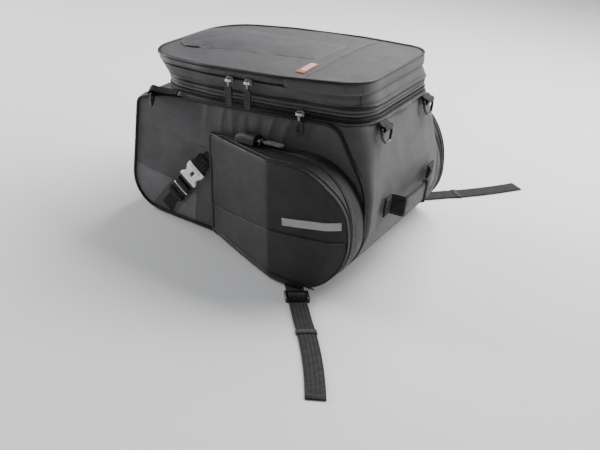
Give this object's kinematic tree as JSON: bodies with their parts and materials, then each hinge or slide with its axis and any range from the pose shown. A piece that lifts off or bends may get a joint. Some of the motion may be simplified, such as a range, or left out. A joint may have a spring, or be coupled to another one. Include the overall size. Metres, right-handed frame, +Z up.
{
  "type": "motorcycle tail bag",
  "caption": "Soft motorcycle tail bag with a zipped lid, expansion collar, D-shaped side pockets, D-rings, grab handle and buckled mounting straps.",
  "frame": {"origin": "centre of the bag's box on the underside of the base mat, without the free front straps", "axes": "+X towards the front of the motorcycle, +Y to its left side, +Z up"},
  "size_m": [0.4736, 0.7368, 0.2811],
  "materials": {
    "shell_fabric": "woven polyester, matte",
    "pocket_fabric": "moulded woven polyester, matte",
    "pad_fabric": "smooth coated fabric, satin",
    "piping": "coated piping, satin",
    "zip_tape": "coil zip tape, matte",
    "slider_metal": "black lacquered, glossy",
    "pull_rubber": "moulded rubber, matte",
    "webbing": "woven webbing, matte",
    "ring_plastic": "black, semi-gloss",
    "buckle_silver": "satin silver",
    "buckle_black": "black acetal, satin",
    "reflective": "retroreflective film, satin",
    "tag_red": "woven label, satin",
    "lining": "thin nylon lining",
    "board": "polypropylene sheet",
    "foam": "closed-cell foam sheet",
    "mat_rubber": "textured anti-slip rubber"
  },
  "bodies": {
    "bag": {"base_board": "board", "base_mat": "mat_rubber", "buckle_female_left": "buckle_silver", "buckle_female_right": "buckle_silver", "dring_tabs": "webbing", "edge_piping_left": "piping", "edge_piping_right": "piping", "expansion_gusset": "shell_fabric", "expansion_zip": "zip_tape", "front_strap_stub_left": "webbing", "front_strap_stub_right": "webbing", "front_strap_tail_left": "webbing", "front_strap_tail_right": "webbing", "grab_handle": "webbing", "liner": "lining", "pocket_gusset_left": "shell_fabric", "pocket_gusset_right": "shell_fabric", "rear_strap_lower_left": "webbing", "rear_strap_lower_right": "webbing", "rear_strap_upper_left": "webbing", "rear_strap_upper_right": "webbing", "side_foams": "foam", "side_panel_left": "shell_fabric", "side_panel_right": "shell_fabric", "strap_adjuster_left": "buckle_black", "strap_adjuster_right": "buckle_black", "wrap_panel": "shell_fabric", "zip_garage_left": "shell_fabric", "zip_garage_right": "shell_fabric"},
    "collar": {"collar_band": "shell_fabric", "main_zip_lower": "zip_tape"},
    "lid": {"lid_shell": "shell_fabric", "lid_board": "board", "lid_pad": "pad_fabric", "lid_piping": "piping", "lid_tag": "tag_red", "main_zip_upper": "zip_tape"},
    "main_slider_1": {"main_slider_1": "slider_metal"},
    "main_pull_1": {"main_pull_1": "pull_rubber"},
    "main_slider_2": {"main_slider_2": "slider_metal"},
    "main_pull_2": {"main_pull_2": "pull_rubber"},
    "expansion_slider": {"expansion_slider": "slider_metal"},
    "expansion_pull": {"expansion_pull": "pull_rubber"},
    "pocket_door_right": {"pocket_door_right": "pocket_fabric", "reflective_strip_right": "reflective"},
    "pocket_slider_right": {"pocket_slider_right": "slider_metal"},
    "pocket_pull_right": {"pocket_pull_right": "pull_rubber"},
    "dring_front_right": {"dring_front_right": "ring_plastic"},
    "dring_rear_right": {"dring_rear_right": "ring_plastic"},
    "buckle_male_right": {"buckle_male_right": "buckle_black"},
    "pocket_door_left": {"pocket_door_left": "pocket_fabric", "reflective_strip_left": "reflective"},
    "pocket_slider_left": {"pocket_slider_left": "slider_metal"},
    "pocket_pull_left": {"pocket_pull_left": "pull_rubber"},
    "dring_front_left": {"dring_front_left": "ring_plastic"},
    "dring_rear_left": {"dring_rear_left": "ring_plastic"},
    "buckle_male_left": {"buckle_male_left": "buckle_black"}
  },
  "joints": [
    {"name": "expansion", "type": "slide", "parent": "bag", "child": "collar", "axis": [-0.1219, 0, 0.9925], "range_m": [0, 0.045], "deforming": ["expansion_gusset"]},
    {"name": "lid_hinge", "type": "hinge", "parent": "collar", "child": "lid", "pos_m": [-0.20319, 0, 0.22485], "axis": [0, -1, 0], "range_deg": [0, 105]},
    {"name": "main_slider_1_run", "type": "slide", "parent": "collar", "child": "main_slider_1", "axis": [-0.9925, 0, -0.1219], "range_m": [0, 0.03]},
    {"name": "main_pull_1_swing", "type": "hinge", "parent": "main_slider_1", "child": "main_pull_1", "pos_m": [-0.0427, -0.1324, 0.24294], "axis": [-0.9925, 0, -0.1219], "range_deg": [0, 150]},
    {"name": "main_slider_2_run", "type": "slide", "parent": "collar", "child": "main_slider_2", "axis": [0.9925, 0, 0.1219], "range_m": [0, 0.03]},
    {"name": "main_pull_2_swing", "type": "hinge", "parent": "main_slider_2", "child": "main_pull_2", "pos_m": [-0.01292, -0.1324, 0.2466], "axis": [-0.9925, 0, -0.1219], "range_deg": [0, 150]},
    {"name": "expansion_slider_run", "type": "slide", "parent": "bag", "child": "expansion_slider", "axis": [0.992, 0.0325, 0.1218], "range_m": [-0.03, 0.015]},
    {"name": "expansion_pull_swing", "type": "hinge", "parent": "expansion_slider", "child": "expansion_pull", "pos_m": [0.06401, -0.12212, 0.22199], "axis": [-0.992, -0.0325, -0.1218], "range_deg": [0, 150]},
    {"name": "pocket_door_right_hinge", "type": "hinge", "parent": "bag", "child": "pocket_door_right", "pos_m": [-0.06498, -0.1205, 0.07155], "axis": [0.1219, 0, -0.9925], "range_deg": [0, 40]},
    {"name": "pocket_slider_right_run", "type": "slide", "parent": "bag", "child": "pocket_slider_right", "axis": [0.9855, -0.1191, 0.121], "range_m": [0, 0.055]},
    {"name": "pocket_pull_right_swing", "type": "hinge", "parent": "pocket_slider_right", "child": "pocket_pull_right", "pos_m": [0.01432, -0.13141, 0.17246], "axis": [-0.1182, -0.9929, -0.0145], "range_deg": [0, 85]},
    {"name": "dring_front_right_swing", "type": "hinge", "parent": "bag", "child": "dring_front_right", "pos_m": [0.16726, -0.07, 0.21907], "axis": [0, -1, 0], "range_deg": [0, 110]},
    {"name": "dring_rear_right_swing", "type": "hinge", "parent": "bag", "child": "dring_rear_right", "pos_m": [-0.16671, -0.1342, 0.19447], "axis": [-0.5, 0.866, 0], "range_deg": [0, 110]},
    {"name": "buckle_right_release", "type": "slide", "parent": "bag", "child": "buckle_male_right", "axis": [-0.5605, 0, -0.8282], "range_m": [0, 0.02], "deforming": ["rear_strap_lower_right"]},
    {"name": "pocket_door_left_hinge", "type": "hinge", "parent": "bag", "child": "pocket_door_left", "pos_m": [-0.06498, 0.1205, 0.07155], "axis": [-0.1219, 0, 0.9925], "range_deg": [0, 40]},
    {"name": "pocket_slider_left_run", "type": "slide", "parent": "bag", "child": "pocket_slider_left", "axis": [0.9855, 0.1191, 0.121], "range_m": [0, 0.055]},
    {"name": "pocket_pull_left_swing", "type": "hinge", "parent": "pocket_slider_left", "child": "pocket_pull_left", "pos_m": [0.01432, 0.13141, 0.17246], "axis": [0.1182, -0.9929, 0.0145], "range_deg": [0, 85]},
    {"name": "dring_front_left_swing", "type": "hinge", "parent": "bag", "child": "dring_front_left", "pos_m": [0.16726, 0.07, 0.21907], "axis": [0, -1, 0], "range_deg": [0, 110]},
    {"name": "dring_rear_left_swing", "type": "hinge", "parent": "bag", "child": "dring_rear_left", "pos_m": [-0.16671, 0.1342, 0.19447], "axis": [0.5, 0.866, 0], "range_deg": [0, 110]},
    {"name": "buckle_left_release", "type": "slide", "parent": "bag", "child": "buckle_male_left", "axis": [-0.5605, 0, -0.8282], "range_m": [0, 0.02], "deforming": ["rear_strap_lower_left"]}
  ]
}
